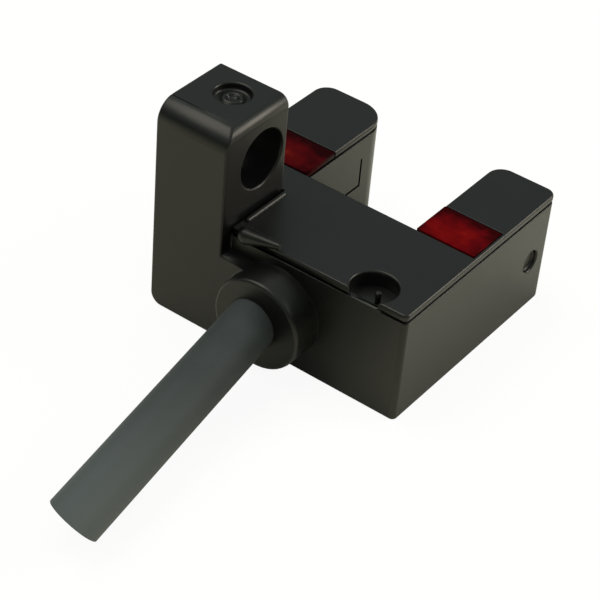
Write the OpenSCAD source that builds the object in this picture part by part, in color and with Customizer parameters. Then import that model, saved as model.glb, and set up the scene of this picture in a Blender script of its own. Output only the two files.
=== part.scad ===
// Fork sensor: a small U-shaped light barrier with a mounting post and a moulded cable outlet.
// The prongs point to +Y, the cable leaves to -Y, and the fork stands on Z = 0.

/* [Fork] */
// Clear width of the sensing slot between the prongs
slot_w = 6.0; // [5:0.1:8]
// Depth of the slot, from the prong tips to its back wall
slot_d = 6.6; // [6.2:0.1:8]
// Width of the left prong, which holds the receiver
left_prong_w = 3.8; // [3.5:0.1:4.6]
// Width of the right prong, which holds the emitter
right_prong_w = 3.2; // [3.1:0.1:4.2]
// Depth of the base, from its front face to the slot
base_d = 5.3; // [5.1:0.1:6.5]
// Height of the fork over its cover
body_h = 5.75; // [5.6:0.05:7]
// Thickness of the housing's side walls
wall_t = 0.5; // [0.4:0.05:0.55]
// Thickness of the left prong's outer wall, which has the rounded lower edge
left_wall_t = 1.1; // [1:0.05:1.3]
// Thickness of the housing's floor
floor_t = 0.6; // [0.5:0.05:0.7]
// Radius of the upright corners at the prong tips
tip_r = 0.8; // [0.3:0.05:1.2]
// Radius of the left prong's tip corner on the slot's side
left_inner_tip_r = 1.4; // [0.6:0.05:1.5]
// Radius of the right prong's tip corner on the outer side
right_outer_tip_r = 0.5; // [0.3:0.05:1]
// Radius of the upright corner at the front right
corner_r = 0.25; // [0.1:0.05:0.6]

/* [Mounting post] */
// Height of the post over the base's underside
post_h = 10.7; // [10:0.1:13]
// Depth of the post
post_d = 4.3; // [4:0.1:4.6]
// How far the post stands proud of the fork's front face
post_proud = 0.65; // [0.3:0.05:1]
// Radius of the post's top edge on the left
post_left_r = 0.1; // [0.05:0.05:0.5]
// Radius of the post's top edge on the right, over the slot
post_right_r = 0.55; // [0.2:0.05:0.9]
// Radius of the post's top edge at the front
post_front_r = 1.0; // [0.2:0.05:1.2]
// Radius of the lower edge along the left side
foot_r = 0.6; // [0.3:0.05:1.5]
// Diameter of the screw hole across the post
screw_hole_d = 2.8; // [2.2:0.1:3.0]
// Distance from the post's top to the screw hole's axis
screw_hole_drop = 2.4; // [2.2:0.1:3]
// Distance from the post's back face to the screw hole's axis
screw_hole_back = 1.75; // [1.7:0.05:2.2]
// Diameter of the moulding gate's recess in the post's top
gate_d = 1.65; // [1:0.05:2]
// Depth of the gate's recess
gate_depth = 0.35; // [0.1:0.05:0.4]
// Distance from the post's back face to the gate's centre
gate_back = 1.55; // [1.4:0.05:2]

/* [Cable outlet] */
// Outer diameter of the collar round the cable
collar_d = 4.45; // [4:0.05:4.8]
// How far the collar stands out of the front face
collar_out = 1.55; // [1.2:0.05:2.5]
// Thickness of the collar's flat face, which closes round the cable
collar_face = 0.7; // [0.5:0.05:1.2]
// Height of the collar's axis
collar_z = 2.7; // [2.6:0.05:3]
// Height of the web that joins the collar to the post
web_h = 4.5; // [3:0.1:5]
// Diameter of the hole for the grommet, behind the collar's face
grommet_hole_d = 2.9; // [2.8:0.05:3]
// Diameter of the grommet's flange behind the wall
grommet_flange_d = 3.4; // [3.2:0.05:3.5]
// Thickness of the grommet's flange
grommet_flange_t = 0.35; // [0.25:0.05:0.5]

/* [Cover] */
// Thickness of the cover plate
cover_t = 0.45; // [0.45:0.05:0.7]
// Height of the shadow step at the cover's seam
seam_step = 0.15; // [0.05:0.01:0.15]
// Depth of that step, in from the cover's edge
seam_in = 0.1; // [0.05:0.01:0.11]
// Gap between the cover and the post's side
cover_gap = 0.1; // [0.1:0.05:0.4]
// Width of the seat for the cover's edge beside the post
cover_seat = 0.2; // [0.1:0.05:0.4]
// Wall of the lip that locates the cover in the housing
lip_t = 0.3; // [0.2:0.05:0.35]
// Depth of the locating lip
lip_d = 0.45; // [0.3:0.05:0.5]
// Clearance between pieces that fit into each other
fit_clear = 0.05; // [0.02:0.01:0.08]
// Diameter of the gate notch in the cover's front edge
notch_d = 2.1; // [1.4:0.1:2.4]
// Distance from the right face to the notch's centre
notch_side = 2.2; // [1.8:0.1:3]
// Distance from the front face to the notch's centre
notch_in = 0.78; // [0.5:0.02:1]
// How far the notch's floor lies below the seam
notch_drop = 0.3; // [0.1:0.05:0.3]
// Thickness of the lip that the housing's front wall leaves along the notch
notch_lip_t = 0.28; // [0.2:0.02:0.36]
// How far that lip stands above the seam
notch_lip_h = 0.05; // [0.05:0.01:0.15]
// Radius of the round ridge along the cover's edge beside the post
ridge_r = 0.13; // [0.08:0.01:0.2]
// Height of the thin pin that the gate leaves in the notch
pin_h = 0.65; // [0.2:0.05:0.7]
// Radius of that pin
pin_r = 0.13; // [0.1:0.01:0.13]
// Distance from the notch's centre to that pin, to the right
pin_side = 0.29; // [0:0.01:0.4]
// Distance from the front face to that pin
pin_in = 0.7; // [0.7:0.01:0.9]
// Distance from the cover's left edge to the bead at its front left corner
bead_in = 0.33; // [0.1:0.01:0.5]
// Radius of that rounded bead
bead_r = 0.42; // [0.2:0.02:0.45]
// Length of that bead
bead_l = 2.2; // [1.2:0.1:2.6]

/* [Windows] */
// Length of each red indicator window along its prong
indicator_l = 2.3; // [1.8:0.1:2.5]
// Width of the cover's rail beside each red window, on its outer side
window_rail = 0.16; // [0.12:0.01:0.3]
// Width of each lens in the slot's walls, along the prong
lens_w = 2.0; // [1.4:0.1:2.2]
// Height of each lens
lens_h = 1.4; // [1:0.1:1.5]
// Open gap beside and below each lens
lens_gap = 0.13; // [0.05:0.01:0.2]
// How far each lens's flange reaches past it behind the wall
lens_flange = 0.22; // [0.15:0.01:0.25]
// Thickness of that flange
lens_flange_t = 0.2; // [0.15:0.01:0.25]
// Distance from the prong tips to the light's axis
axis_from_tip = 3.1; // [2.8:0.1:3.2]
// Height of the light's axis
axis_z = 3.45; // [3.3:0.05:3.5]
// Diameter of the dimple on the right outer face
dimple_d = 1.1; // [0.6:0.1:1.4]
// Depth of that dimple
dimple_depth = 0.22; // [0.05:0.01:0.25]
// Distance from the prong tip to the dimple's centre
dimple_from_tip = 1.55; // [1.4:0.05:2]
// Height of the dimple's centre
dimple_z = 2.7; // [2:0.1:3.2]

/* [Electronics] */
// Thickness of the circuit board
board_t = 0.5; // [0.4:0.05:0.6]
// Height of the bosses under the board
board_lift = 0.25; // [0.2:0.05:0.35]
// Clearance between the board and the walls
board_clear = 0.12; // [0.08:0.01:0.15]
// Width of the emitter and receiver bodies, along the prong
element_w = 1.9; // [1.4:0.1:2]
// Depth of the emitter and receiver bodies, across the prong
element_d = 1.25; // [1:0.05:1.3]
// Radius of the lens dome on each body
dome_r = 0.72; // [0.5:0.02:0.8]
// How far the dome stands out of the body
dome_out = 0.3; // [0.2:0.02:0.35]
// Diameter of the bodies' leads
lead_d = 0.28; // [0.2:0.02:0.36]
// Side of the square control chip
chip_w = 2.2; // [1.8:0.1:2.4]
// Height of the control chip
chip_h = 0.75; // [0.5:0.05:1]
// Length of the small resistors and capacitors
passive_l = 1.0; // [0.8:0.05:1.05]
// Width of the small resistors and capacitors
passive_w = 0.5; // [0.4:0.02:0.55]

/* [Cable] */
// Outer diameter of the cable's sheath
cable_d = 2.4; // [2:0.02:2.5]
// Free length of the cable past the collar's rim
cable_l = 13.0; // [8:0.1:14]
// How far the cable's axis lies to the left of the collar's axis, at the rim
cable_shift = 0.18; // [0:0.02:0.25]
// Angle at which the cable leans to the right
cable_lean = 6.05; // [0:0.05:8]
// Angle at which the cable drops
cable_drop = 5.7; // [0:0.1:6]
// Slant of the cable's cut end, which faces down
cut_slant = 38; // [0:1:45]
// Angle at which that slant turns to the left
cut_turn = 28; // [0:1:45]
// Diameter of a core over its insulation
core_d = 0.52; // [0.4:0.02:0.54]
// Diameter of a core's copper
copper_d = 0.28; // [0.2:0.02:0.34]
// Distance of each core from the cable's axis
core_out = 0.52; // [0.5:0.01:0.6]
// Wall of the crimped clamp ring on the sheath
clamp_t = 0.2; // [0.12:0.01:0.25]
// Length of the clamp ring
clamp_l = 0.45; // [0.3:0.05:0.6]

/* [Hidden] */

$fn = 64;
over = 1;
hair = 0.01;

// Plan of the fork, centred on its width and on its depth from collar rim to prong tips
body_w = left_prong_w + slot_w + right_prong_w;
left_x = -body_w / 2;
right_x = body_w / 2;
slot_left_x = left_x + left_prong_w;
slot_right_x = right_x - right_prong_w;
rim_y = -(collar_out + base_d + slot_d) / 2;
front_y = rim_y + collar_out;
slot_y = front_y + base_d;
tip_y = slot_y + slot_d;
post_front = front_y - post_proud;
post_back = post_front + post_d;
seam_z = body_h - cover_t;

// Hollow of the housing
hollow_front = front_y + wall_t;
hollow_back = slot_y - wall_t;
hollow_left = slot_left_x + cover_gap + cover_seat;
post_mid_x = (left_x + slot_left_x) / 2;
left_mid_x = (left_x + left_wall_t + slot_left_x - wall_t) / 2;
right_mid_x = (right_x + slot_right_x) / 2;

// Post
screw_y = post_back - screw_hole_back;
screw_z = post_h - screw_hole_drop;
gate_y = post_back - gate_back;
vestige_h = 0.16;
vestige_share = 0.6;
vestige_dot = 0.25;

// Bead: its taper's radii as shares of its ball's radius
bead_root = 0.995;
bead_tip = 0.33;

// Windows
window_y0 = slot_y;
window_y1 = slot_y + indicator_l;
window_mid_y = (window_y0 + window_y1) / 2;
axis_y = tip_y - axis_from_tip;
lens_y0 = axis_y - lens_w / 2;
lens_y1 = axis_y + lens_w / 2;
lens_z0 = axis_z - lens_h / 2;
lens_z1 = axis_z + lens_h / 2;

// Board and what stands on it
board_z0 = floor_t + board_lift;
board_z1 = board_z0 + board_t;
boss_r = 0.4;
boss_in = boss_r + board_clear;
board_notch_w = grommet_flange_d + 2 * board_clear;
board_notch_y = hollow_front + grommet_flange_t + board_clear;
lead_stand = 0.25;
lead_tail = 0.1;
lead_hole_clear = 0.05;
element_z0 = board_z1 + lead_stand;
element_head = 0.1;
element_z1 = lens_z1 + element_head;
element_gap = 0.08;
lead_pitch = 0.55;
led_l = 1.5;
led_w = 0.8;
led_head_l = 1.0;
led_base_h = 0.25;
led_h = 0.55;
guide_gap = 0.15;
guide_margin = 0.4;
small_body = [1.1, 0.8, 0.5];
diode_body = [1.2, 0.8, 0.6];
part_gap = 0.3;
passive_h = 0.35;
terminal_l = 0.2;
back_row_y = hollow_back - board_clear - small_body.y / 2 - hair;
pad_r = 0.38;
pad_y = back_row_y - passive_w / 2 - pad_r - board_clear;
pad_pitch = 0.9;
pad_top_r = 0.22;
solder_h = 0.4;
solder_reach = 1.02;

// Cable
cable_tilt = [90 + cable_drop, 0, cable_lean];
rim_point = [-cable_shift, rim_y, collar_z];
clamp_gap = 0.3;
core_stub = 0.2;
gland_back = collar_out + wall_t + grommet_flange_t;
sheath_back = gland_back + clamp_gap + clamp_l + core_stub;
core_turn = 18;
elbow = 1.06;
core_clear = 0.02;
strip_share = 0.8;
core_places = [for (turn = [180, 90, 270, 0])
    core_out * [cos(core_turn + turn), sin(core_turn + turn)]];

// A point of the cable's own frame, where w runs out along the cable, in the part's frame
function cable_point(u, v, w) =
    let (a = cable_tilt.x, b = cable_tilt.z)
    let (y = v * cos(a) - w * sin(a), z = v * sin(a) + w * cos(a))
    rim_point + [u * cos(b) - y * sin(b), u * sin(b) + y * cos(b), z];

// Where the cable's axis crosses the middle of the grommet's flange
gland = cable_point(0, 0, grommet_flange_t / 2 - gland_back);

// Where core number i leaves the sheath, and its place on the board
function core_exit(i) =
    cable_point(core_places[i].x, core_places[i].y, -sheath_back - core_stub);
function core_pad(i) = [(i - 1.5) * pad_pitch, pad_y, board_z1 + solder_h / 2];

// Centres of the small parts on the board, with the turn of each
control_chip_at = [right_x - wall_t - board_clear - chip_w / 2 - part_gap,
    hollow_front + board_clear + chip_w / 2 + part_gap];
diode_x = right_x - wall_t - board_clear - diode_body.x / 2 - hair;
transistor_x = [for (i = [1, 2])
    diode_x - (diode_body.x - small_body.x) / 2 - i * (small_body.x + part_gap)];
resistor_places = [
    for (i = [-1, 0, 1]) [i * (passive_l + part_gap / 2) - part_gap, back_row_y, 0],
    [right_mid_x, tip_y - wall_t - 2 * boss_in, 0],
    [left_mid_x, tip_y - wall_t - 2 * boss_in, 0]
];
capacitor_places = [
    [control_chip_at.x - chip_w / 2 - part_gap - passive_w / 2, control_chip_at.y, 90],
    [left_mid_x, slot_y - passive_w, 0],
    [right_mid_x, slot_y - passive_w / 2, 0]
];

// Colours
black_plastic = "#2d2f2e";
red_plastic = "#b01420";
lens_plastic = "#2a2224";
board_green = "#1f5a3a";
package_black = "#1a1a1c";
metal_tin = "#c4c6c8";
copper = "#c07a4a";
cable_grey = "#5c6465";
rubber_black = "#1c1d1d";

// Shapes used by several pieces

// A box between two opposite corners
module block(a, b) {
    low = [for (i = [0:2]) min(a[i], b[i])];
    high = [for (i = [0:2]) max(a[i], b[i])];
    translate(low) cube(high - low);
}

// A flat shape raised from one height to another
module slab(z0, z1) {
    translate([0, 0, z0]) linear_extrude(z1 - z0) children();
}

// What a rounded corner takes off a rectangle
module corner_cut(corner, inward, r) {
    if (r > 0)
        difference() {
            translate(corner) square(2 * r, center = true);
            translate(corner + r * inward) circle(r);
        }
}

// A rectangle between two corners, each corner with its own radius
module rounded_rect(low, high, sw = 0, se = 0, ne = 0, nw = 0) {
    if (high.x > low.x && high.y > low.y)
        difference() {
            translate(low) square(high - low);
            corner_cut(low, [1, 1], sw);
            corner_cut([high.x, low.y], [-1, 1], se);
            corner_cut(high, [-1, -1], ne);
            corner_cut([low.x, high.y], [1, -1], nw);
        }
}

// The fork's outline from above, drawn in from its edges by an inset
module fork_outline(inset = 0) {
    tip = max(tip_r - inset, 0);
    left_inner = max(left_inner_tip_r - inset, 0);
    right_outer = max(right_outer_tip_r - inset, 0);
    corner = max(corner_r - inset, 0);
    low = [left_x + inset, front_y + inset];
    rounded_rect(low, [right_x - inset, slot_y - inset], se = corner);
    rounded_rect(low, [slot_left_x - inset, tip_y - inset], ne = left_inner, nw = tip);
    rounded_rect([slot_right_x + inset, low.y], [right_x - inset, tip_y - inset],
        se = corner, ne = right_outer, nw = tip);
}

// The hollow's outline from above: base, both prongs and the passage behind the post
module hollow_outline(inset = 0) {
    tip = max(tip_r - wall_t - inset, 0);
    left_inner = max(left_inner_tip_r - wall_t - inset, 0);
    right_outer = max(right_outer_tip_r - wall_t - inset, 0);
    back = hollow_back - inset;
    right = right_x - wall_t - inset;
    left = left_x + left_wall_t + inset;
    far = tip_y - wall_t - inset;
    rounded_rect([hollow_left + inset, hollow_front + inset], [right, back]);
    rounded_rect([slot_right_x + wall_t + inset, hollow_front + inset], [right, far],
        ne = right_outer, nw = tip);
    rounded_rect([left, post_back + inset], [slot_left_x - wall_t - inset, far],
        ne = left_inner, nw = tip);
    rounded_rect([left, post_back + inset], [hollow_left + over, back]);
}

// A cylinder along Y, from one depth to another
module rod_y(x, z, y0, y1, r) {
    translate([x, y1, z]) rotate([90, 0, 0]) cylinder(h = y1 - y0, r = r);
}

// A cylinder along X, from one side to the other
module rod_x(y, z, x0, x1, r) {
    translate([x0, y, z]) rotate([0, 90, 0]) cylinder(h = x1 - x0, r = r);
}

// A round rod between two points
module rod(a, b, r) {
    d = b - a;
    translate(a)
        rotate([0, acos(d.z / norm(d)), atan2(d.y, d.x)])
            cylinder(h = norm(d), r = r);
}

// Places its children on the cable's axis, with Z running out along it from the rim
module on_cable() {
    translate(rim_point) rotate(cable_tilt) children();
}

// A bore along the cable's axis, from the collar's rim into the hollow
module gland_bore(d) {
    on_cable()
        translate([0, 0, -sheath_back - over])
            cylinder(h = sheath_back + 2 * over, d = d);
}

// The part of its children that lies behind the collar's face
module behind_face() {
    intersection() {
        children();
        block([left_x, rim_y + collar_face, 0], [right_x, tip_y, body_h]);
    }
}

// What lies past the cable's slanted cut
module past_cut() {
    on_cable()
        translate([0, 0, cable_l])
            rotate([cut_slant, 0, -cut_turn])
                translate([-2 * cable_d, -2 * cable_d, 0]) cube(4 * cable_d);
}

// Housing

// The post: its front view and its side view, crossed
module post_block() {
    intersection() {
        translate([0, post_back, 0])
            rotate([90, 0, 0])
                linear_extrude(post_d)
                    rounded_rect([left_x, 0], [slot_left_x, post_h],
                        ne = post_right_r, nw = post_left_r);
        translate([left_x - over, 0, 0])
            rotate([90, 0, 90])
                linear_extrude(left_prong_w + 2 * over)
                    rounded_rect([post_front, 0], [post_back, post_h], nw = post_front_r);
    }
}

// The rounding of the lower edge along the left side
module foot_cut() {
    translate([0, tip_y + over, 0])
        rotate([90, 0, 0])
            linear_extrude(tip_y - post_front + 2 * over)
                corner_cut([left_x, 0], [1, 1], foot_r);
}

// The moulding gate's recess in the post's top, with what the gate leaves in it
module gate_recess() {
    translate([post_mid_x, gate_y, post_h - gate_depth])
        difference() {
            cylinder(h = gate_depth + over, d = gate_d);
            difference() {
                translate([0, 0, -hair]) cylinder(h = vestige_h, d = gate_d * vestige_share);
                translate([0, 0, -over]) cylinder(h = 2 * over, r = vestige_dot);
            }
        }
}

// The opening for a lens in a slot wall; into is +1 where the wall runs to +X
module lens_opening(wall_x, into) {
    block([wall_x - into * over, lens_y0 - fit_clear, lens_z0 - lens_gap],
        [wall_x + into * (wall_t + hair), lens_y1 + lens_gap, lens_z1 + fit_clear]);
}

// The bosses that carry the board
module board_bosses() {
    far = tip_y - wall_t - boss_in;
    places = [
        [left_mid_x, far], [right_mid_x, far],
        [right_x - wall_t - boss_in, hollow_front + boss_in],
        [hollow_left + boss_in, hollow_back - boss_in]
    ];
    for (p = places)
        translate([p.x, p.y, floor_t - hair]) cylinder(h = board_lift + hair, r = boss_r);
}

module housing() {
    color(black_plastic) {
        difference() {
            union() {
                slab(0, seam_z) fork_outline();
                post_block();
                rod_y(0, collar_z, rim_y, hollow_front, collar_d / 2);
                block([slot_left_x - over, post_front, collar_z - collar_d / 2],
                    [0, hollow_front, web_h]);
                slab(seam_z - hair, seam_z + notch_lip_h) notch_lip_plan();
            }
            foot_cut();
            slab(floor_t, seam_z + over) hollow_outline();
            slab(seam_z - notch_drop, seam_z + over) notch_pocket_plan();
            gland_bore(cable_d + 2 * core_clear);
            behind_face() gland_bore(grommet_hole_d);
            rod_x(screw_y, screw_z, left_x - over, slot_left_x + over, screw_hole_d / 2);
            gate_recess();
            lens_opening(slot_left_x, -1);
            lens_opening(slot_right_x, 1);
            rod_x(tip_y - dimple_from_tip, dimple_z, right_x - dimple_depth, right_x + over,
                dimple_d / 2);
        }
        board_bosses();
    }
}

// Cover and windows

// Where the cover leaves room for the post, from above
module post_room() {
    rounded_rect([left_x - over, front_y - over],
        [slot_left_x + cover_gap, post_back + fit_clear]);
}

// The bands across the prongs that the indicator windows fill, from above
module window_bands() {
    rounded_rect([left_x + window_rail, window_y0], [slot_left_x + over, window_y1]);
    rounded_rect([slot_right_x - over, window_y0], [right_x - window_rail, window_y1]);
}

// The cover plate's own shape at an inset from its edges, from above
module cover_plan(inset) {
    difference() {
        fork_outline(inset);
        post_room();
        window_bands();
        notch_plan();
    }
}

// The round notch in the cover's front edge, from above
module notch_plan(inset = 0) {
    translate([right_x - notch_side, front_y + notch_in]) circle(d = notch_d - 2 * inset);
}

// The strip of the front wall that stays along the notch, from above
module notch_strip(front) {
    rounded_rect([left_x, front], [right_x, front_y + notch_lip_t]);
}

// The lip that the front wall leaves along the notch, from above
module notch_lip_plan() {
    intersection() {
        notch_plan(fit_clear);
        notch_strip(front_y);
    }
}

// The notch behind that lip, from above
module notch_pocket_plan() {
    difference() {
        notch_plan();
        notch_strip(front_y - over);
    }
}

// The tapering bead on the cover's front left corner
module cover_bead() {
    x0 = slot_left_x + cover_gap + bead_in + bead_r;
    run = bead_l - bead_r;
    rise = bead_r * (bead_root - bead_tip);
    translate([x0, front_y, body_h - cover_t + bead_r]) {
        sphere(bead_r);
        rotate([0, 90 - atan(rise / run), 0])
            cylinder(h = norm([run, rise]), r1 = bead_r * bead_root, r2 = bead_r * bead_tip);
    }
}

// The round ridge along the cover's edge beside the post
module cover_ridge() {
    x = slot_left_x + cover_gap + ridge_r + hair;
    y0 = front_y + 2 * bead_r;
    y1 = post_back - 2 * ridge_r;
    rod_y(x, body_h - hair, y0, y1, ridge_r);
    for (y = [y0, y1])
        translate([x, y, body_h - hair]) sphere(ridge_r);
}

module top_cover() {
    color(black_plastic) {
        slab(seam_z + seam_step, body_h) cover_plan(0);
        slab(seam_z, seam_z + seam_step) cover_plan(seam_in);
        difference() {
            slab(seam_z - lip_d, seam_z) lip_plan();
            gland_flange(fit_clear);
            slab(seam_z - notch_drop, seam_z + over) notch_plan();
        }
        translate([right_x - notch_side + pin_side, front_y + pin_in, seam_z - notch_drop - hair])
            cylinder(h = pin_h + hair, r = pin_r);
        cover_bead();
        cover_ridge();
    }
}

// The locating lip, with the pad that closes the notch from below, from above
module lip_plan() {
    difference() {
        hollow_outline(fit_clear);
        difference() {
            hollow_outline(fit_clear + lip_t);
            translate([right_x - notch_side, front_y + notch_in]) circle(d = notch_d + 2 * lip_t);
        }
    }
}

// A red window: a plate from the cover's rail to the slot, and a light guide down to its lamp
module indicator_window(x0, x1, left_t) {
    side = 2 * fit_clear + lip_t;
    slab(seam_z + seam_step, body_h) children();
    slab(seam_z, seam_z + seam_step)
        intersection() {
            children();
            fork_outline(seam_in);
        }
    block([x0 + left_t + side, window_y0 + guide_margin, board_z1 + led_h + guide_gap],
        [x1 - wall_t - side, window_y1 - guide_margin, seam_z]);
}

module indicator_window_left() {
    color(red_plastic)
        indicator_window(left_x, slot_left_x, left_wall_t)
            rounded_rect([left_x + window_rail + fit_clear, window_y0 + fit_clear],
                [slot_left_x, window_y1 - fit_clear]);
}

module indicator_window_right() {
    color(red_plastic)
        indicator_window(slot_right_x, right_x, wall_t)
            rounded_rect([slot_right_x, window_y0 + fit_clear],
                [right_x - window_rail - fit_clear, window_y1 - fit_clear]);
}

// A lens flush with the slot's wall, with its flange behind the wall
module slot_lens(wall_x, into) {
    inner = wall_x + into * wall_t;
    block([wall_x, lens_y0, lens_z0], [inner, lens_y1, lens_z1]);
    block([inner, lens_y0 - lens_flange, lens_z0 - lens_flange],
        [inner + into * lens_flange_t, lens_y1 + lens_flange, lens_z1 + lens_flange]);
}

module receiver_lens() {
    color(lens_plastic) slot_lens(slot_left_x, -1);
}

module emitter_lens() {
    color(lens_plastic) slot_lens(slot_right_x, 1);
}

// Electronics

// Places of an element's leads in its prong
function element_front(wall_x, into) =
    wall_x + into * (wall_t + lens_flange_t + element_gap + dome_out);
function lead_places(wall_x, into, count) =
    let (x = element_front(wall_x, into) + into * element_d / 2)
    [for (i = [0:count - 1]) [x, axis_y + (i - (count - 1) / 2) * lead_pitch]];
receiver_lead_places = lead_places(slot_left_x, -1, 3);
emitter_lead_places = lead_places(slot_right_x, 1, 2);

module circuit_board() {
    color(board_green)
        difference() {
            slab(board_z0, board_z1)
                difference() {
                    hollow_outline(board_clear);
                    rounded_rect([gland.x - board_notch_w / 2, hollow_front],
                        [gland.x + board_notch_w / 2, board_notch_y]);
                }
            for (p = concat(receiver_lead_places, emitter_lead_places))
                translate([p.x, p.y, board_z0 - over])
                    cylinder(h = board_t + 2 * over, d = lead_d + 2 * lead_hole_clear);
        }
}

// Half of a dome's section, its axis along Y: the cap past the body's face and a little of its root
module dome_half_plan() {
    intersection() {
        circle(dome_r);
        translate([0, dome_r - 2 * dome_out]) square(2 * dome_out);
    }
}

// A body that looks sideways into the slot through its dome
module element(wall_x, into) {
    front = element_front(wall_x, into);
    block([front, axis_y - element_w / 2, element_z0],
        [front + into * element_d, axis_y + element_w / 2, element_z1]);
    translate([front + into * (dome_r - dome_out), axis_y, axis_z])
        rotate([0, -90 * into, 0])
            rotate_extrude() dome_half_plan();
}

module element_leads(places) {
    for (p = places)
        translate([p.x, p.y, board_z0 - lead_tail])
            cylinder(h = element_z0 - board_z0 + lead_tail, d = lead_d);
}

module receiver() {
    color(package_black) element(slot_left_x, -1);
}

module emitter() {
    color("#3a5a78") element(slot_right_x, 1);
}

module receiver_leads() {
    color(metal_tin) element_leads(receiver_lead_places);
}

module emitter_leads() {
    color(metal_tin) element_leads(emitter_lead_places);
}

// A small lamp on the board: its base, and its clear block on top
module indicator_led(x) {
    block([x - led_w / 2, window_mid_y - led_l / 2, board_z1],
        [x + led_w / 2, window_mid_y + led_l / 2, board_z1 + led_base_h]);
    block([x - led_w / 2, window_mid_y - led_head_l / 2, board_z1 + led_base_h],
        [x + led_w / 2, window_mid_y + led_head_l / 2, board_z1 + led_h]);
}

module indicator_led_left() {
    color("#e8b0a0") indicator_led(left_mid_x);
}

module indicator_led_right() {
    color("#e8b0a0") indicator_led(right_mid_x);
}

// A body of the given size standing on the board at a place
module on_board(at, size) {
    translate([at.x - size.x / 2, at.y - size.y / 2, board_z1]) cube(size);
}

module control_chip() {
    color(package_black) on_board(control_chip_at, [chip_w, chip_w, chip_h]);
}

module output_transistors() {
    color(package_black)
        for (x = transistor_x)
            on_board([x, back_row_y], small_body);
}

module protection_diode() {
    color(package_black) on_board([diode_x, back_row_y], diode_body);
}

// The bodies between the two metal ends of small parts at their places
module passive_bodies(places) {
    length = passive_l - 2 * terminal_l;
    for (p = places)
        translate([p.x, p.y, board_z1])
            rotate(p.z)
                translate([-length / 2, -passive_w / 2, 0])
                    cube([length, passive_w, passive_h]);
}

module chip_resistors() {
    color(package_black) passive_bodies(resistor_places);
}

module chip_capacitors() {
    color("#a58a66") passive_bodies(capacitor_places);
}

module chip_terminals() {
    color(metal_tin)
        for (p = concat(resistor_places, capacitor_places), end = [-1, 1])
            translate([p.x, p.y, board_z1])
                rotate(p.z)
                    translate([end * (passive_l - terminal_l) / 2 - terminal_l / 2,
                        -passive_w / 2, 0])
                        cube([terminal_l, passive_w, passive_h]);
}

// Cable

// The grommet's flange behind the wall, grown by a clearance
module gland_flange(grow) {
    rod_y(gland.x, gland.z, hollow_front, hollow_front + grommet_flange_t + grow,
        grommet_flange_d / 2 + grow);
}

module cable_grommet() {
    color(rubber_black)
        difference() {
            union() {
                intersection() {
                    behind_face() gland_bore(grommet_hole_d - 2 * core_clear);
                    block([left_x, rim_y, 0], [right_x, hollow_front + hair, body_h]);
                }
                gland_flange(0);
            }
            gland_bore(cable_d + 2 * core_clear);
        }
}

module cable_clamp() {
    color(metal_tin)
        on_cable()
            translate([0, 0, core_stub - sheath_back])
                difference() {
                    cylinder(h = clamp_l, d = cable_d + 2 * core_clear + 2 * clamp_t);
                    translate([0, 0, -over])
                        cylinder(h = clamp_l + 2 * over, d = cable_d + 2 * core_clear);
                }
}

module cable_sheath() {
    color(cable_grey)
        difference() {
            on_cable()
                difference() {
                    translate([0, 0, -sheath_back])
                        cylinder(h = sheath_back + cable_l + cable_d, d = cable_d);
                    for (p = core_places)
                        translate([p.x, p.y, -sheath_back - over])
                            cylinder(h = sheath_back + cable_l + cable_d + 2 * over,
                                d = core_d + 2 * core_clear);
                }
            past_cut();
        }
}

// A round line along core number i, from the cut to a share of its way to the board
module core_line(i, r, share) {
    p = core_places[i];
    bend = core_exit(i);
    difference() {
        on_cable()
            translate([p.x, p.y, -sheath_back - core_stub])
                cylinder(h = sheath_back + core_stub + cable_l + cable_d, r = r);
        past_cut();
    }
    translate(bend) sphere(r * elbow);
    rod(bend, bend + share * (core_pad(i) - bend), r);
}

module core(i) {
    difference() {
        core_line(i, core_d / 2, strip_share);
        core_line(i, copper_d / 2 + core_clear / 2, 1);
    }
}

module core_brown() {
    color("#5a3a24") core(0);
}

module core_black() {
    color("#202020") core(1);
}

module core_blue() {
    color("#2a4a90") core(2);
}

module core_white() {
    color("#d8d8d4") core(3);
}

module core_copper() {
    color(copper)
        for (i = [0:3])
            core_line(i, copper_d / 2, 1);
}

module solder_joints() {
    color(metal_tin)
        for (i = [0:3])
            difference() {
                translate([core_pad(i).x, pad_y, board_z1])
                    cylinder(h = solder_h, r1 = pad_r, r2 = pad_top_r);
                core_line(i, copper_d / 2 + core_clear / 2, solder_reach);
            }
}

housing();
top_cover();
indicator_window_left();
indicator_window_right();
receiver_lens();
emitter_lens();
circuit_board();
receiver();
emitter();
receiver_leads();
emitter_leads();
indicator_led_left();
indicator_led_right();
control_chip();
output_transistors();
protection_diode();
chip_resistors();
chip_capacitors();
chip_terminals();
cable_grommet();
cable_clamp();
cable_sheath();
core_brown();
core_black();
core_blue();
core_white();
core_copper();
solder_joints();
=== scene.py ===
"""Looks of the fork sensor: its rounded mouldings, red windows, cable and every inner finish."""

import math

import bpy
from mathutils import Matrix, Vector


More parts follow.
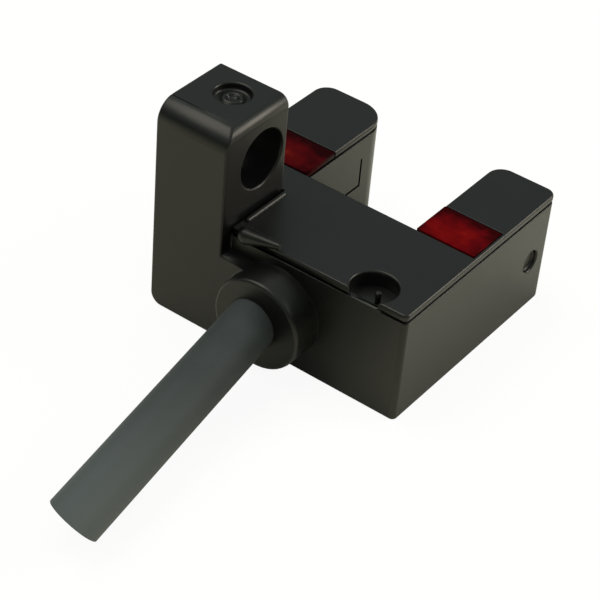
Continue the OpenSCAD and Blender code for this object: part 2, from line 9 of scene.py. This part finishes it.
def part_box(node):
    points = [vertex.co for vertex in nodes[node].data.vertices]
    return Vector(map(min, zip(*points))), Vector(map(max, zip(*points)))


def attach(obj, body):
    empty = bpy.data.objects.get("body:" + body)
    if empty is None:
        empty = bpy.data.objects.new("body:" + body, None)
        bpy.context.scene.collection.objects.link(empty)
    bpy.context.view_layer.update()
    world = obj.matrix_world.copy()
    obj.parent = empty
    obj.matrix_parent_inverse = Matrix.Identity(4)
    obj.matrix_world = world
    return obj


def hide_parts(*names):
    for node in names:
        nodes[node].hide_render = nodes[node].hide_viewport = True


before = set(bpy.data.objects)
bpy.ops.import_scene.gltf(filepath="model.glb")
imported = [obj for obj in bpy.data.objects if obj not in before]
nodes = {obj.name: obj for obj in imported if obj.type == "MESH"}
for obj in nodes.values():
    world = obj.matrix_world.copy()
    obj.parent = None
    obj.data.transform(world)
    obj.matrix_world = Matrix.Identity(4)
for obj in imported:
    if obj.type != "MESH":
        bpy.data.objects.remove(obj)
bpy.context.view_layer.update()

MM = 0.001
BODY = "root"

# Camera: place and angles fitted to the photograph, with the part standing on Z = 0
CAMERA_PLACE = Vector((39.42, -62.63, 58.98)) * MM
CAMERA_AZIMUTH = math.radians(33.65)
CAMERA_ELEVATION = math.radians(38.64)
CAMERA_ROLL = math.radians(-5.32)
CAMERA_LENS = 124.44
CAMERA_SENSOR = 36.0
CAMERA_NEAR = 0.001

# Light: a plain level, at which the pale floor is just white
SKY_LEVEL = 1.0
SKY_BELOW = (0.30, 0.30, 0.30)
SKY_HORIZON = (0.12, 0.13, 0.13)
SKY_MIDDLE = (0.54, 0.66, 0.67)
SKY_TOP = (0.70, 0.78, 0.78)
FLOOR_SIZE = 4.0
FLOOR_GLOW = 0.93
FLOOR_GLOW_IN_GLOSS = 0.08
FLOOR_COLOUR = (0.94, 0.90, 0.74)
LAMP_AIM = Vector((0.0, 0.0, 0.004))

# Roundings of the mouldings' own edges, how sharp an edge is rounded and which faces stay creased
EDGE_ROUND = 0.11 * MM
FINE_ROUND = 0.04 * MM
RIM_ROUND = 0.17 * MM
CORNER_ROUND = 0.012 * MM
NO_ROUND = 0.0
ROUND_SEGMENTS = 3
SHARP_ANGLE = math.radians(35.0)
SMOOTH_ANGLE = math.radians(40.0)

# How near two points are merged, and how flat neighbouring faces are joined
MERGE_DISTANCE = 1e-7
FLAT_ANGLE = math.radians(0.2)

# The windows and lenses, by node, and the room round them in which edges belong to their openings
WINDOWS = ("indicator_window_left", "indicator_window_right")
LENSES = ("receiver_lens", "emitter_lens")
WINDOW_MARGIN = (0.1, 0.1, 0.2)
LENS_MARGIN = (0.3, 0.3, 0.3)

# The lenses' upper side and the side towards the base, their room in the openings there, and how
# near a point lies to belong to a side
LENS_TOP = 4.15 * MM
LENS_BASE_SIDE = 2.625 * MM
LENS_ROOM = 0.05 * MM
SAME_SIDE = 0.005 * MM


class Wire:
    """A socket of a material's node tree, with the arithmetic that the materials use."""

    def __init__(self, tree, socket):
        self.tree = tree
        self.socket = socket

    def node(self, kind, settings=None, inputs=None, out=0):
        """Adds a node, sets it up, feeds its sockets, and returns one of its outputs."""
        made = self.tree.nodes.new(kind)
        for name, value in (settings or {}).items():
            if name == "stops":
                set_stops(made.color_ramp, value)
            else:
                setattr(made, name, value)
        for name, value in (inputs or {}).items():
            feed(self.tree, made.inputs[name], value)
        return Wire(self.tree, made.outputs[out])

    def math(self, operation, *values):
        return self.node("ShaderNodeMath", {"operation": operation}, dict(enumerate(values)))

    def __add__(self, other):
        return self.math("ADD", self, other)

    __radd__ = __add__

    def __mul__(self, other):
        return self.math("MULTIPLY", self, other)

    __rmul__ = __mul__

    def __sub__(self, other):
        return self.math("SUBTRACT", self, other)

    def __rsub__(self, other):
        return self.math("SUBTRACT", other, self)

    def __truediv__(self, other):
        return self.math("DIVIDE", self, other)

    def clamp(self):
        return self.node("ShaderNodeClamp", None, {"Value": self})

    def noise(self, scale, detail=3.0, rough=0.5):
        """Fractal noise read at this vector, as a number."""
        return self.node("ShaderNodeTexNoise", None,
                         {"Vector": self, "Scale": scale, "Detail": detail, "Roughness": rough})

    def ramp(self, *stops):
        """A colour that follows this number through (place, colour) stops."""
        return self.node("ShaderNodeValToRGB", {"stops": stops}, {"Fac": self})

    def step(self, low, high):
        """0 below low, 1 above high, smooth between."""
        return self.node("ShaderNodeMapRange", {"interpolation_type": "SMOOTHSTEP"},
                         {"Value": self, "From Min": low, "From Max": high})

    def mix(self, other, share):
        """This colour, with a share of another."""
        made = self.node("ShaderNodeMix", {"data_type": "RGBA"}, {"Factor": share}, 2)
        feed(self.tree, made.socket.node.inputs[6], self)
        feed(self.tree, made.socket.node.inputs[7], other)
        return made

    def axes(self):
        """The X, Y and Z of this vector."""
        split = self.node("ShaderNodeSeparateXYZ", None, {"Vector": self}).socket.node
        return [Wire(self.tree, split.outputs[i]) for i in range(3)]


def feed(tree, socket, value):
    """Links a wire to a socket, or sets the socket's own value."""
    if isinstance(value, Wire):
        tree.links.new(value.socket, socket)
    else:
        socket.default_value = value


def set_stops(ramp, stops):
    """Gives a colour ramp its stops."""
    while len(ramp.elements) > 1:
        ramp.elements.remove(ramp.elements[-1])
    for i, (place, colour) in enumerate(stops):
        stop = ramp.elements[0] if i == 0 else ramp.elements.new(place)
        stop.position = place
        stop.color = (*colour, 1.0)


def new_material(name):
    """An empty principled material, its object coordinates and its shader."""
    made = bpy.data.materials.new(name)
    made.use_nodes = True
    tree = made.node_tree
    shader = tree.nodes["Principled BSDF"]
    place = Wire(tree, None).node("ShaderNodeTexCoord", out=3)
    return made, place, shader


def finish_shader(made, shader, settings):
    """Feeds the shader's sockets by name."""
    for name, value in settings.items():
        feed(made.node_tree, shader.inputs[name], value)
    return made


def bump(height, distance, strength=1.0):
    """A normal from a height map."""
    return height.node("ShaderNodeBump", None,
                       {"Height": height, "Distance": distance, "Strength": strength})


# Materials

def moulded_black(name, dark=(0.0022, 0.0025, 0.0024), pale=(0.0040, 0.0042, 0.0039)):
    """Black glass-filled plastic: fine eroded grain, faint flow clouds, soft sheen."""
    made, place, shader = new_material(name)
    grain = place.noise(9000.0, 4.0, 0.6)
    cloud = place.noise(420.0, 2.0)
    colour = (cloud * 0.7 + grain * 0.3).ramp((0.3, dark), (0.7, pale))
    return finish_shader(made, shader, {
        "Base Color": colour,
        "Roughness": 0.32 + cloud * 0.06 + grain * 0.04,
        "Specular IOR Level": 0.3,
        "Specular Tint": (1.0, 0.96, 0.86, 1.0),
        "Normal": bump(grain, 0.001 * MM, 0.15),
    })


def clear_red_painted_glow(name, lamp, reach, level):
    """Clear red plastic with its lamp's glow painted into its colour: painted brighter over the lamp
    and painted darker away from it, as far as its reach. Nothing in it emits light.
    """
    made, place, shader = new_material(name)
    x, y = place.axes()[:2]
    cloud = place.noise(1700.0, 2.0)
    along = (x - lamp.x) / (reach.x * MM)
    across = (y - lamp.y) / (reach.y * MM)
    # Painted glow: how near a point lies to the lamp, which sets how lit its colour is painted
    glow = 1.0 - (along * along + across * across)
    light = (glow * 0.7 + cloud * 1.1 - 0.52).clamp()
    # Painted glow and painted shade: the red is painted lighter near the lamp and darker away from it
    colour = light.ramp(
        (0.0, (0.030 * level, 0.0004, 0.0008)),
        (0.45, (0.115 * level, 0.001, 0.002)),
        (0.8, (0.17 * level, 0.002, 0.002)),
        (1.0, (0.26 * level, 0.007, 0.004)))
    return finish_shader(made, shader, {
        "Base Color": colour,
        "Roughness": 0.16 + cloud * 0.06,
        "Specular IOR Level": 0.012,
        "Specular Tint": (1.0, 0.35, 0.35, 1.0),
    })


def cable_pvc(name):
    """Grey cable sheath: satin, with a faint drawn texture, and painted light making it paler towards
    its free end.
    """
    made, place, shader = new_material(name)
    y = place.axes()[1]
    cloud = place.noise(600.0, 3.0)
    grain = place.noise(7000.0, 3.0)
    # Painted light: the sheath is painted paler towards its free end, where less shade falls on it
    painted_light_share = y.step(-10.0 * MM, -20.0 * MM)
    sheath_tone = (cloud * 0.8 + grain * 0.2).ramp((0.3, (0.025, 0.029, 0.028)), (0.7, (0.034, 0.038, 0.037)))
    return finish_shader(made, shader, {
        # The sheath's own tone, with a paler painted-light colour mixed in towards the free end
        "Base Color": sheath_tone.mix((0.060, 0.068, 0.064, 1.0), painted_light_share),
        "Roughness": 0.62 + cloud * 0.10,
        "Specular IOR Level": 0.25,
        "Normal": bump(grain, 0.004 * MM, 0.5),
    })


def plain_finish(name, dark, pale, rough, scale=2500.0, metal=0.0, coat=0.0):
    """A small part's finish: two close tones over a fine noise, and its own gloss."""
    made, place, shader = new_material(name)
    cloud = place.noise(scale, 3.0)
    return finish_shader(made, shader, {
        "Base Color": cloud.ramp((0.3, dark), (0.7, pale)),
        "Roughness": rough + cloud * 0.12,
        "Metallic": metal,
        "Coat Weight": coat,
        "Normal": bump(cloud, 0.003 * MM, 0.4),
    })


def board_finish(name):
    """Green solder mask over copper tracks."""
    made, place, shader = new_material(name)
    weave = place.noise(5200.0, 2.0)
    wave = place.node("ShaderNodeTexWave", {"wave_type": "BANDS", "bands_direction": "Y"},
                      {"Vector": place, "Scale": 700.0, "Distortion": 2.0, "Detail": 0.0}, 1)
    track = wave.step(0.70, 0.78)
    mask = weave.ramp((0.3, (0.010, 0.075, 0.036)), (0.7, (0.016, 0.100, 0.050)))
    return finish_shader(made, shader, {
        "Base Color": mask.mix((0.030, 0.150, 0.075, 1.0), track),
        "Roughness": 0.35 + weave * 0.1,
        "Coat Weight": 0.3,
    })


# Modelling

def only(thing):
    """Makes one object the only selected and active one."""
    bpy.ops.object.select_all(action="DESELECT")
    thing.select_set(True)
    bpy.context.view_layer.objects.active = thing


def merged_copy(node, name, flat=False):
    """A copy of a CAD node as one closed mesh; flat joins the triangles of its flat faces."""
    only(nodes[node])
    bpy.ops.object.duplicate()
    copy = bpy.context.view_layer.objects.active
    copy.name = name
    copy.data.name = name
    copy.parent = None
    bpy.ops.object.mode_set(mode="EDIT")
    bpy.ops.mesh.select_all(action="SELECT")
    bpy.ops.mesh.remove_doubles(threshold=MERGE_DISTANCE)
    if flat:
        bpy.ops.mesh.dissolve_limited(angle_limit=FLAT_ANGLE)
    bpy.ops.object.mode_set(mode="OBJECT")
    return copy


def inside(place, box):
    """Whether a place lies in a box of two corners."""
    return all(box[0][i] <= place[i] <= box[1][i] for i in range(3))


def round_edges(piece, width, places=()):
    """Rounds a piece's sharp edges and shades it smooth; places are boxes with their own width."""
    only(piece)
    bpy.ops.object.mode_set(mode="EDIT")
    bpy.ops.mesh.select_mode(type="EDGE")
    bpy.ops.mesh.select_all(action="DESELECT")
    bpy.ops.mesh.edges_select_sharp(sharpness=SHARP_ANGLE)
    bpy.ops.object.mode_set(mode="OBJECT")
    widest = max([width] + [own for box, own in places])
    weights = piece.data.attributes.new("bevel_weight_edge", "FLOAT", "EDGE")
    for line in piece.data.edges:
        if line.select:
            middle = sum((piece.data.vertices[i].co for i in line.vertices), Vector()) / 2
            found = [own for box, own in places if inside(middle, box)]
            weights.data[line.index].value = (found[-1] if found else width) / widest
    edge = piece.modifiers.new("edge", "BEVEL")
    edge.width = widest
    edge.segments = ROUND_SEGMENTS
    edge.limit_method = "WEIGHT"
    edge.use_clamp_overlap = False
    edge.loop_slide = False
    edge.face_strength_mode = "FSTR_ALL"
    bpy.ops.object.modifier_apply(modifier=edge.name)
    bpy.ops.object.mode_set(mode="EDIT")
    bpy.ops.mesh.select_all(action="SELECT")
    bpy.ops.mesh.dissolve_limited(angle_limit=FLAT_ANGLE)
    bpy.ops.object.mode_set(mode="OBJECT")
    bpy.ops.object.shade_smooth_by_angle(angle=SMOOTH_ANGLE)
    smooth = piece.modifiers.new("weights", "WEIGHTED_NORMAL")
    smooth.mode = "FACE_AREA"
    smooth.weight = 100
    smooth.keep_sharp = True
    smooth.use_face_influence = True
    bpy.ops.object.modifier_apply(modifier=smooth.name)


def fill_side(piece, axis, level, room):
    """Moves the points of one side of a piece by some room along an axis."""
    only(piece)
    bpy.ops.object.mode_set(mode="EDIT")
    bpy.ops.mesh.select_mode(type="VERT")
    bpy.ops.mesh.select_all(action="DESELECT")
    bpy.ops.object.mode_set(mode="OBJECT")
    for point in piece.data.vertices:
        point.select = abs(point.co[axis] - level) < SAME_SIDE
    bpy.ops.object.mode_set(mode="EDIT")
    shift = [0.0, 0.0, 0.0]
    shift[axis] = room
    bpy.ops.transform.translate(value=shift)
    bpy.ops.object.mode_set(mode="OBJECT")


def box_at(low, high):
    """A box from two corners in millimetres."""
    return Vector(low) * MM, Vector(high) * MM


def grown(box, room):
    """A box with some room round it, in millimetres."""
    return box[0] - Vector(room) * MM, box[1] + Vector(room) * MM


def wear(piece, material):
    """Gives a piece one material."""
    piece.data.materials.clear()
    piece.data.materials.append(material)


def stand_for(piece, node, material):
    """Puts a finished piece in its node's place."""
    wear(piece, material)
    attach(piece, BODY)
    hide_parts(node)


# The stage

def make_camera():
    """The photograph's camera."""
    azimuth, elevation, roll = CAMERA_AZIMUTH, CAMERA_ELEVATION, CAMERA_ROLL
    back = Vector((math.sin(azimuth) * math.cos(elevation),
                   -math.cos(azimuth) * math.cos(elevation), math.sin(elevation)))
    level = Vector((math.cos(azimuth), math.sin(azimuth), 0.0))
    down = (-back).cross(level)
    right = level * math.cos(roll) + down * math.sin(roll)
    drop = down * math.cos(roll) - level * math.sin(roll)
    data = bpy.data.cameras.new("camera")
    data.lens = CAMERA_LENS
    data.sensor_width = CAMERA_SENSOR
    data.sensor_height = CAMERA_SENSOR
    data.clip_start = CAMERA_NEAR
    camera = bpy.data.objects.new("camera", data)
    turn = Matrix((right, -drop, back)).transposed().to_4x4()
    camera.matrix_world = Matrix.Translation(CAMERA_PLACE) @ turn
    bpy.context.scene.collection.objects.link(camera)
    bpy.context.scene.camera = camera


def make_lamp(name, place, power, size, colour):
    """A soft square lamp that looks at the part."""
    data = bpy.data.lights.new(name, "AREA")
    data.energy = power
    data.size = size
    data.color = colour
    lamp = bpy.data.objects.new(name, data)
    lamp.location = place
    aim = (LAMP_AIM - Vector(place)).to_track_quat("-Z", "Y")
    lamp.rotation_euler = aim.to_euler()
    lamp.visible_camera = False
    bpy.context.scene.collection.objects.link(lamp)


def make_floor():
    """A plain pale floor, white to the camera, that keeps the part's shadow."""
    bpy.ops.object.select_all(action="DESELECT")
    bpy.ops.mesh.primitive_plane_add(size=FLOOR_SIZE)
    floor = bpy.context.active_object
    floor.name = "floor"
    made = bpy.data.materials.new("floor")
    made.use_nodes = True
    tree = made.node_tree
    tree.nodes.clear()
    start = Wire(tree, None)
    path = start.node("ShaderNodeLightPath").socket.node
    camera, gloss, through = [Wire(tree, path.outputs[name]) for name in
                              ("Is Camera Ray", "Is Glossy Ray", "Is Transmission Ray")]
    share = ((camera + through) * FLOOR_GLOW + gloss * FLOOR_GLOW_IN_GLOSS).clamp()
    matte = start.node("ShaderNodeBsdfDiffuse", None, {"Color": (*FLOOR_COLOUR, 1.0)})
    glow = start.node("ShaderNodeEmission", None, {"Color": (1.0, 1.0, 1.0, 1.0), "Strength": 1.0})
    both = start.node("ShaderNodeMixShader", None, {0: share, 1: matte, 2: glow})
    end = tree.nodes.new("ShaderNodeOutputMaterial")
    tree.links.new(both.socket, end.inputs["Surface"])
    floor.data.materials.append(made)


def make_world():
    """Plain soft light from all round, dimmer towards the horizon."""
    world = bpy.data.worlds.new("world")
    world.use_nodes = True
    tree = world.node_tree
    height = Wire(tree, None).node("ShaderNodeTexCoord").axes()[2]
    sky = (height * 0.5 + 0.5).ramp(
        (0.30, SKY_BELOW), (0.50, SKY_HORIZON), (0.66, SKY_HORIZON),
        (0.80, SKY_MIDDLE), (1.0, SKY_TOP))
    feed(tree, tree.nodes["Background"].inputs["Color"], sky)
    feed(tree, tree.nodes["Background"].inputs["Strength"], SKY_LEVEL)
    bpy.context.scene.world = world


make_camera()
make_world()
make_floor()
make_lamp("overhead", place=(-0.17, -0.06, 0.36), power=0.95, size=0.28, colour=(1.0, 0.97, 0.92))
make_lamp("side", place=(0.13, 0.135, 0.09), power=0.28, size=0.09, colour=(1.0, 0.95, 0.88))
bpy.context.scene.view_settings.view_transform = "Standard"

# The housing, with the places where its edges have a rounding of their own
black = moulded_black("moulded_black")
filter_plastic = moulded_black(
    "filter_plastic", dark=(0.0032, 0.0026, 0.0027), pale=(0.0052, 0.0044, 0.0045))
housing = merged_copy("housing", "housing_moulding")
collar_rim = box_at((-3.0, -6.8, 0.0), (3.0, -6.6, 6.0))
cable_entry = box_at((-1.6, -6.8, 1.2), (1.3, -6.6, 4.2))
collar_foot = box_at((-2.3, -5.2, 0.3), (2.3, -5.15, 5.0))
seam_edges = box_at((-7.0, -6.0, 5.25), (7.0, 7.0, 5.32))
notch_pocket = box_at((3.0, -5.3, 4.85), (5.6, -3.0, 5.4))
notch_lip = box_at((3.4, -5.3, 5.32), (5.2, -5.1, 5.4))
housing_places = [
    (collar_rim, RIM_ROUND),
    (cable_entry, NO_ROUND),
    (collar_foot, CORNER_ROUND),
    (seam_edges, FINE_ROUND),
    (notch_pocket, CORNER_ROUND),
    (notch_lip, FINE_ROUND),
    *((grown(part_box(node), LENS_MARGIN), NO_ROUND) for node in LENSES),
]
round_edges(housing, EDGE_ROUND, housing_places)
stand_for(housing, "housing", black)

# The cover: its hidden underside, its bead and the ridge beside the post keep their edges
cover = merged_copy("top_cover", "cover_moulding", flat=True)
underside = box_at((-7.0, -6.0, 4.0), (7.0, 7.0, 5.35))
top_edges = box_at((-7.0, -6.0, 5.7), (7.0, 7.0, 5.8))
bead_and_ridge = box_at((-2.7, -6.0, 5.0), (0.3, -1.4, 6.2))
cover_places = [
    (underside, NO_ROUND),
    (top_edges, EDGE_ROUND),
    *((grown(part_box(node), WINDOW_MARGIN), FINE_ROUND) for node in WINDOWS),
    (bead_and_ridge, NO_ROUND),
]
round_edges(cover, FINE_ROUND, cover_places)
stand_for(cover, "top_cover", black)

# The red windows, with their lamps' glow painted into their colour: how bright the painted glow of each
# is, how far its lamp lies off its middle, and how far that reaches
for side, level, lean, reach in (
        ("left", 0.40, (-0.2, -0.5), (2.4, 1.4)),
        ("right", 0.73, (-0.1, -0.35), (2.0, 1.3))):
    node = f"indicator_window_{side}"
    low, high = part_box(node)
    lamp = (low + high) / 2 + Vector((*lean, 0.0)) * MM
    window = merged_copy(node, f"red_window_{side}")
    round_edges(window, FINE_ROUND)
    glow = clear_red_painted_glow(f"clear_red_painted_glow_{side}", lamp, Vector(reach), level)
    stand_for(window, node, glow)

# The lenses fill their openings on the upper and the base side, so only the open gap shows as a line
for node in LENSES:
    lens = merged_copy(node, f"{node}_insert")
    fill_side(lens, 2, LENS_TOP, LENS_ROOM)
    fill_side(lens, 1, LENS_BASE_SIDE, -LENS_ROOM)
    stand_for(lens, node, filter_plastic)

# The cable
sheath = merged_copy("cable_sheath", "cable_jacket")
round_edges(sheath, FINE_ROUND)
stand_for(sheath, "cable_sheath", cable_pvc("cable_pvc"))

# The finishes of the pieces that keep their solids
tin = plain_finish("bright_tin", (0.55, 0.56, 0.57), (0.68, 0.69, 0.70), 0.25, metal=1.0)
package = plain_finish("chip_package", (0.010, 0.010, 0.011), (0.018, 0.018, 0.019), 0.45)
lamp_resin = plain_finish("lamp_resin", (0.55, 0.28, 0.22), (0.72, 0.42, 0.34), 0.3, coat=0.4)
finishes = {
    "circuit_board": board_finish("solder_mask"),
    "receiver": package,
    "emitter": plain_finish(
        "tinted_resin", (0.030, 0.060, 0.110), (0.045, 0.085, 0.150), 0.12, coat=0.6),
    "receiver_leads": tin,
    "indicator_led_left": lamp_resin,
    "control_chip": package,
    "chip_capacitors": plain_finish("ceramic", (0.30, 0.20, 0.11), (0.42, 0.30, 0.17), 0.5),
    "cable_grommet": plain_finish(
        "gland_rubber", (0.008, 0.008, 0.008), (0.014, 0.014, 0.014), 0.6),
    "core_brown": plain_finish("brown_core", (0.09, 0.035, 0.015), (0.13, 0.055, 0.025), 0.45),
    "core_black": plain_finish("black_core", (0.010, 0.010, 0.010), (0.016, 0.016, 0.016), 0.45),
    "core_blue": plain_finish("blue_core", (0.015, 0.045, 0.22), (0.025, 0.065, 0.30), 0.45),
    "core_white": plain_finish("white_core", (0.62, 0.62, 0.59), (0.75, 0.75, 0.72), 0.45),
    "core_copper": plain_finish(
        "bare_copper", (0.60, 0.28, 0.14), (0.78, 0.40, 0.22), 0.28, metal=1.0),
}
same_as = {
    "emitter_leads": "receiver_leads",
    "indicator_led_right": "indicator_led_left",
    "output_transistors": "control_chip",
    "protection_diode": "control_chip",
    "chip_resistors": "control_chip",
    "chip_terminals": "receiver_leads",
    "cable_clamp": "receiver_leads",
    "solder_joints": "receiver_leads",
}
for node, other in same_as.items():
    finishes[node] = finishes[other]
for node, material in finishes.items():
    wear(nodes[node], material)
